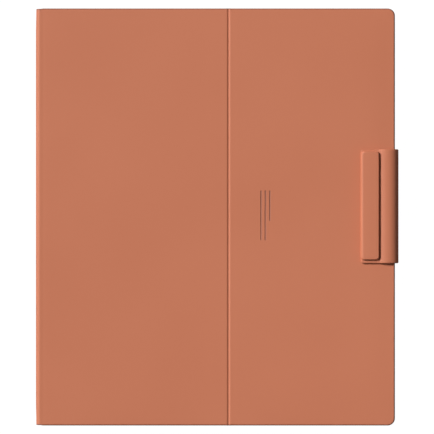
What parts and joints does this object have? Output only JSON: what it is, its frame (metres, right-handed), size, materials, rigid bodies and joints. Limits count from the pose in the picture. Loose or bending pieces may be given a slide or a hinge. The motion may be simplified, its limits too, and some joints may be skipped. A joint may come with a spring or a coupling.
{
  "type": "e-reader",
  "caption": "Large note-taking e-reader closed inside a folding folio with a two-part front cover and a magnetic wrap-round clasp strap.",
  "frame": {"origin": "centre of the closed folio's footprint, on the surface it lies on", "axes": "+X from the spine to the free edge and the clasp, +Y towards the top edge, +Z out of the front cover"},
  "size_m": [0.1994, 0.229, 0.0133],
  "materials": {
    "folio_leather": "matte imitation leather",
    "fold_leather": "matte imitation leather, thin at the fold",
    "fibreboard": "pressed fibreboard",
    "microfibre": "brushed microfibre",
    "magnet": "nickel plated magnet",
    "steel": "stamped steel",
    "shell": "dark anodised, bead blasted",
    "frame_alloy": "stamped alloy sheet",
    "cover_glass": "matte etched glass with a printed border",
    "light_guide": "clear light guide",
    "epaper": "matte e-paper",
    "circuit_board": "solder mask",
    "copper_flex": "copper ribbon under yellow film",
    "black_plastic": "moulded black",
    "battery_foil": "foil pouch"
  },
  "bodies": {
    "folio_back": {"back_skin": "folio_leather", "back_board": "fibreboard", "back_lining": "microfibre", "back_magnet_1": "magnet", "back_magnet_2": "magnet", "back_magnet_3": "magnet", "back_magnet_4": "magnet", "rear_fold_strip": "fold_leather", "clasp_rear_fold": "fold_leather"},
    "spine": {"spine_skin": "folio_leather", "spine_board": "fibreboard", "spine_lining": "microfibre", "front_fold_strip": "fold_leather"},
    "front_inner": {"front_inner_skin": "folio_leather", "front_inner_board": "fibreboard", "front_inner_lining": "microfibre", "crease_strip": "fold_leather"},
    "front_outer": {"front_outer_skin": "folio_leather", "front_outer_board": "fibreboard", "front_outer_lining": "microfibre", "clasp_keeper": "steel", "sleep_magnet": "magnet"},
    "clasp_side": {"clasp_side_strap": "folio_leather", "clasp_front_fold": "fold_leather"},
    "clasp_flap": {"clasp_flap_strap": "folio_leather", "clasp_bar_cover": "folio_leather", "clasp_magnet_1": "magnet", "clasp_magnet_2": "magnet", "clasp_magnet_3": "magnet"},
    "reader": {"rear_shell": "shell", "mid_frame": "frame_alloy", "cover_glass": "cover_glass", "light_guide": "light_guide", "light_strip": "copper_flex", "epaper_panel": "epaper", "digitizer_board": "circuit_board", "main_board": "circuit_board", "soc_shield": "steel", "power_shield": "steel", "usb_port": "steel", "battery_cell_1": "battery_foil", "battery_cell_2": "battery_foil", "speaker_1": "black_plastic", "speaker_2": "black_plastic", "power_switch": "black_plastic", "card_socket": "steel", "antenna": "copper_flex", "display_ribbon": "copper_flex", "microphone": "steel", "reader_magnet_1": "magnet", "reader_magnet_2": "magnet", "frame_screw_1": "steel", "frame_screw_2": "steel", "frame_screw_3": "steel", "frame_screw_4": "steel", "frame_screw_5": "steel", "frame_screw_6": "steel"},
    "power_button": {"power_button": "shell"},
    "card_tray": {"card_tray": "shell"}
  },
  "joints": [
    {"name": "rear_fold", "type": "hinge", "parent": "folio_back", "child": "spine", "pos_m": [-0.09885, 0, 0.0008], "axis": [0, -1, 0], "range_deg": [0, 180], "deforming": ["rear_fold_strip"]},
    {"name": "front_fold", "type": "hinge", "parent": "spine", "child": "front_inner", "pos_m": [-0.09885, 0, 0.009], "axis": [0, -1, 0], "range_deg": [0, 180], "deforming": ["front_fold_strip"]},
    {"name": "crease", "type": "hinge", "parent": "front_inner", "child": "front_outer", "pos_m": [0.0062, 0, 0.00955], "axis": [0, 1, 0], "range_deg": [-150, 0], "deforming": ["crease_strip"]},
    {"name": "clasp_rear_bend", "type": "hinge", "parent": "folio_back", "child": "clasp_side", "pos_m": [0.0986, 0, 0.00105], "axis": [0, 1, 0], "range_deg": [0, 150], "deforming": ["clasp_rear_fold"]},
    {"name": "clasp_front_bend", "type": "hinge", "parent": "clasp_side", "child": "clasp_flap", "pos_m": [0.0976, 0, 0.0102], "axis": [0, 1, 0], "range_deg": [0, 100], "deforming": ["clasp_front_fold"]},
    {"name": "reader_slide", "type": "slide", "parent": "folio_back", "child": "reader", "axis": [0, 1, 0], "range_m": [0, 0.24]},
    {"name": "power_press", "type": "slide", "parent": "reader", "child": "power_button", "axis": [0, -1, 0], "range_m": [0, 0.00035], "stiffness_N_per_m": 1000, "springref_m": -0.001},
    {"name": "card_tray_slide", "type": "slide", "parent": "reader", "child": "card_tray", "axis": [0, -1, 0], "range_m": [0, 0.018]}
  ]
}
